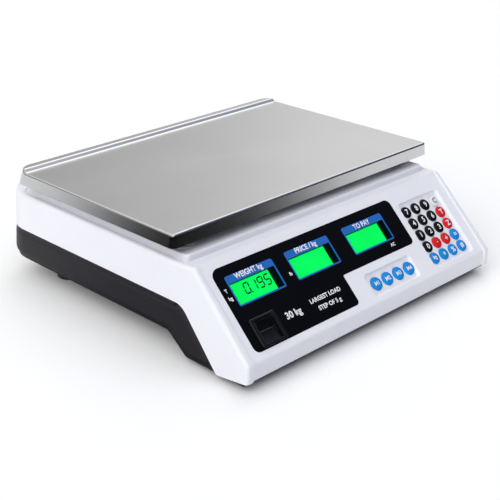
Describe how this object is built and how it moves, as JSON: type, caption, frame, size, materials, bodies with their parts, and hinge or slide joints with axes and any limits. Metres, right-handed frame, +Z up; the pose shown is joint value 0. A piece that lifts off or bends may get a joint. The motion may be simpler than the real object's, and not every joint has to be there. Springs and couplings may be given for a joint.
{
  "type": "retail price-computing counter scale",
  "caption": "Counter scale with stainless pan, sloping front panel with three lit figures, round keys and rocker switch, on screw feet.",
  "frame": {"origin": "on the counter, under the middle of the scale's outline", "axes": "+X to the operator's right, +Y from the operator's side towards the customer's, +Z up"},
  "size_m": [0.3432, 0.3556, 0.121],
  "materials": {
    "stainless_steel": "satin",
    "cast_aluminium": "cast",
    "pad_rubber": "matt",
    "zinc_steel": "zinc plated",
    "white_abs": "fine grain",
    "black_abs": "fine grain",
    "cell_aluminium": "machined",
    "window_black": "gloss",
    "print_blue": "gloss print",
    "lcd_green": "backlit liquid crystal",
    "backlight": "diffuser",
    "circuit_board": "solder mask",
    "mat_silicone": "matt",
    "switch_black": "moulded gloss",
    "battery_grey": "moulded",
    "core_steel": "varnished laminations",
    "level_clear": "clear",
    "foot_black": "moulded",
    "key_black": "domed gloss",
    "key_red": "domed gloss",
    "key_blue": "domed gloss",
    "key_white": "domed gloss"
  },
  "bodies": {
    "body": {"top_housing": "white_abs", "base_housing": "black_abs", "load_cell": "cell_aluminium", "lower_spacer": "zinc_steel", "load_cell_screws": "zinc_steel", "housing_screws": "zinc_steel", "display_window": "window_black", "display_bezels": "print_blue", "lcd_weight": "lcd_green", "lcd_unit_price": "lcd_green", "lcd_total_price": "lcd_green", "lcd_backlights": "backlight", "display_board": "circuit_board", "board_screws": "zinc_steel", "keypad_mat_main": "mat_silicone", "keypad_mat_memory": "mat_silicone", "switch_body": "switch_black", "rear_window": "window_black", "rear_lcds": "lcd_green", "rear_board": "circuit_board", "battery": "battery_grey", "transformer": "core_steel", "mains_inlet": "switch_black", "bubble_level": "level_clear"},
    "platform": {"pan_spider": "cast_aluminium", "pan_pads": "pad_rubber", "spider_screws": "zinc_steel", "upper_spacer": "zinc_steel"},
    "pan": {"weighing_pan": "stainless_steel"},
    "rocker": {"switch_rocker": "switch_black"},
    "hatch": {"battery_door": "black_abs"},
    "foot_front_left": {"foot_front_left": "foot_black"},
    "foot_front_right": {"foot_front_right": "foot_black"},
    "foot_rear_left": {"foot_rear_left": "foot_black"},
    "foot_rear_right": {"foot_rear_right": "foot_black"},
    "key_7": {"key_7": "key_black"},
    "key_8": {"key_8": "key_black"},
    "key_9": {"key_9": "key_black"},
    "key_clear": {"key_clear": "key_white"},
    "key_4": {"key_4": "key_black"},
    "key_5": {"key_5": "key_black"},
    "key_6": {"key_6": "key_black"},
    "key_tare": {"key_tare": "key_red"},
    "key_1": {"key_1": "key_black"},
    "key_2": {"key_2": "key_black"},
    "key_3": {"key_3": "key_black"},
    "key_zero": {"key_zero": "key_red"},
    "key_0": {"key_0": "key_black"},
    "key_point": {"key_point": "key_red"},
    "key_add": {"key_add": "key_red"},
    "key_total": {"key_total": "key_blue"},
    "key_unit": {"key_unit": "key_blue"},
    "key_light": {"key_light": "key_blue"},
    "key_change": {"key_change": "key_blue"},
    "key_return": {"key_return": "key_blue"},
    "key_memory_1": {"key_memory_1": "key_blue"},
    "key_memory_2": {"key_memory_2": "key_blue"},
    "key_memory_3": {"key_memory_3": "key_blue"},
    "key_memory_4": {"key_memory_4": "key_blue"}
  },
  "joints": [
    {"name": "platform_deflection", "type": "slide", "parent": "body", "child": "platform", "axis": [0, 0, 1], "range_m": [-0.0006, 0], "stiffness_N_per_m": 150000, "deforming": ["load_cell"]},
    {"name": "pan_lift", "type": "slide", "parent": "platform", "child": "pan", "axis": [0, 0, 1], "range_m": [0, 0.05]},
    {"name": "power_switch", "type": "hinge", "parent": "body", "child": "rocker", "pos_m": [-0.1292, -0.15981, 0.04036], "axis": [1, 0, 0], "range_deg": [-14, 0]},
    {"name": "battery_door_slide", "type": "slide", "parent": "body", "child": "hatch", "axis": [0, 1, 0], "range_m": [0, 0.1]},
    {"name": "front_left_foot_height", "type": "slide", "parent": "body", "child": "foot_front_left", "axis": [0, 0, 1], "range_m": [-0.006, 0.006]},
    {"name": "front_right_foot_height", "type": "slide", "parent": "body", "child": "foot_front_right", "axis": [0, 0, 1], "range_m": [-0.006, 0.006]},
    {"name": "rear_left_foot_height", "type": "slide", "parent": "body", "child": "foot_rear_left", "axis": [0, 0, 1], "range_m": [-0.006, 0.006]},
    {"name": "rear_right_foot_height", "type": "slide", "parent": "body", "child": "foot_rear_right", "axis": [0, 0, 1], "range_m": [-0.006, 0.006]},
    {"name": "key_7_press", "type": "slide", "parent": "body", "child": "key_7", "axis": [0, 0.7071, -0.7071], "range_m": [0, 0.001], "stiffness_N_per_m": 500},
    {"name": "key_8_press", "type": "slide", "parent": "body", "child": "key_8", "axis": [0, 0.7071, -0.7071], "range_m": [0, 0.001], "stiffness_N_per_m": 500},
    {"name": "key_9_press", "type": "slide", "parent": "body", "child": "key_9", "axis": [0, 0.7071, -0.7071], "range_m": [0, 0.001], "stiffness_N_per_m": 500},
    {"name": "key_clear_press", "type": "slide", "parent": "body", "child": "key_clear", "axis": [0, 0.7071, -0.7071], "range_m": [0, 0.001], "stiffness_N_per_m": 500},
    {"name": "key_4_press", "type": "slide", "parent": "body", "child": "key_4", "axis": [0, 0.7071, -0.7071], "range_m": [0, 0.001], "stiffness_N_per_m": 500},
    {"name": "key_5_press", "type": "slide", "parent": "body", "child": "key_5", "axis": [0, 0.7071, -0.7071], "range_m": [0, 0.001], "stiffness_N_per_m": 500},
    {"name": "key_6_press", "type": "slide", "parent": "body", "child": "key_6", "axis": [0, 0.7071, -0.7071], "range_m": [0, 0.001], "stiffness_N_per_m": 500},
    {"name": "key_tare_press", "type": "slide", "parent": "body", "child": "key_tare", "axis": [0, 0.7071, -0.7071], "range_m": [0, 0.001], "stiffness_N_per_m": 500},
    {"name": "key_1_press", "type": "slide", "parent": "body", "child": "key_1", "axis": [0, 0.7071, -0.7071], "range_m": [0, 0.001], "stiffness_N_per_m": 500},
    {"name": "key_2_press", "type": "slide", "parent": "body", "child": "key_2", "axis": [0, 0.7071, -0.7071], "range_m": [0, 0.001], "stiffness_N_per_m": 500},
    {"name": "key_3_press", "type": "slide", "parent": "body", "child": "key_3", "axis": [0, 0.7071, -0.7071], "range_m": [0, 0.001], "stiffness_N_per_m": 500},
    {"name": "key_zero_press", "type": "slide", "parent": "body", "child": "key_zero", "axis": [0, 0.7071, -0.7071], "range_m": [0, 0.001], "stiffness_N_per_m": 500},
    {"name": "key_0_press", "type": "slide", "parent": "body", "child": "key_0", "axis": [0, 0.7071, -0.7071], "range_m": [0, 0.001], "stiffness_N_per_m": 500},
    {"name": "key_point_press", "type": "slide", "parent": "body", "child": "key_point", "axis": [0, 0.7071, -0.7071], "range_m": [0, 0.001], "stiffness_N_per_m": 500},
    {"name": "key_add_press", "type": "slide", "parent": "body", "child": "key_add", "axis": [0, 0.7071, -0.7071], "range_m": [0, 0.001], "stiffness_N_per_m": 500},
    {"name": "key_total_press", "type": "slide", "parent": "body", "child": "key_total", "axis": [0, 0.7071, -0.7071], "range_m": [0, 0.001], "stiffness_N_per_m": 500},
    {"name": "key_unit_press", "type": "slide", "parent": "body", "child": "key_unit", "axis": [0, 0.7071, -0.7071], "range_m": [0, 0.001], "stiffness_N_per_m": 500},
    {"name": "key_light_press", "type": "slide", "parent": "body", "child": "key_light", "axis": [0, 0.7071, -0.7071], "range_m": [0, 0.001], "stiffness_N_per_m": 500},
    {"name": "key_change_press", "type": "slide", "parent": "body", "child": "key_change", "axis": [0, 0.7071, -0.7071], "range_m": [0, 0.001], "stiffness_N_per_m": 500},
    {"name": "key_return_press", "type": "slide", "parent": "body", "child": "key_return", "axis": [0, 0.7071, -0.7071], "range_m": [0, 0.001], "stiffness_N_per_m": 500},
    {"name": "key_memory_1_press", "type": "slide", "parent": "body", "child": "key_memory_1", "axis": [0, 0.7071, -0.7071], "range_m": [0, 0.001], "stiffness_N_per_m": 500},
    {"name": "key_memory_2_press", "type": "slide", "parent": "body", "child": "key_memory_2", "axis": [0, 0.7071, -0.7071], "range_m": [0, 0.001], "stiffness_N_per_m": 500},
    {"name": "key_memory_3_press", "type": "slide", "parent": "body", "child": "key_memory_3", "axis": [0, 0.7071, -0.7071], "range_m": [0, 0.001], "stiffness_N_per_m": 500},
    {"name": "key_memory_4_press", "type": "slide", "parent": "body", "child": "key_memory_4", "axis": [0, 0.7071, -0.7071], "range_m": [0, 0.001], "stiffness_N_per_m": 500}
  ]
}
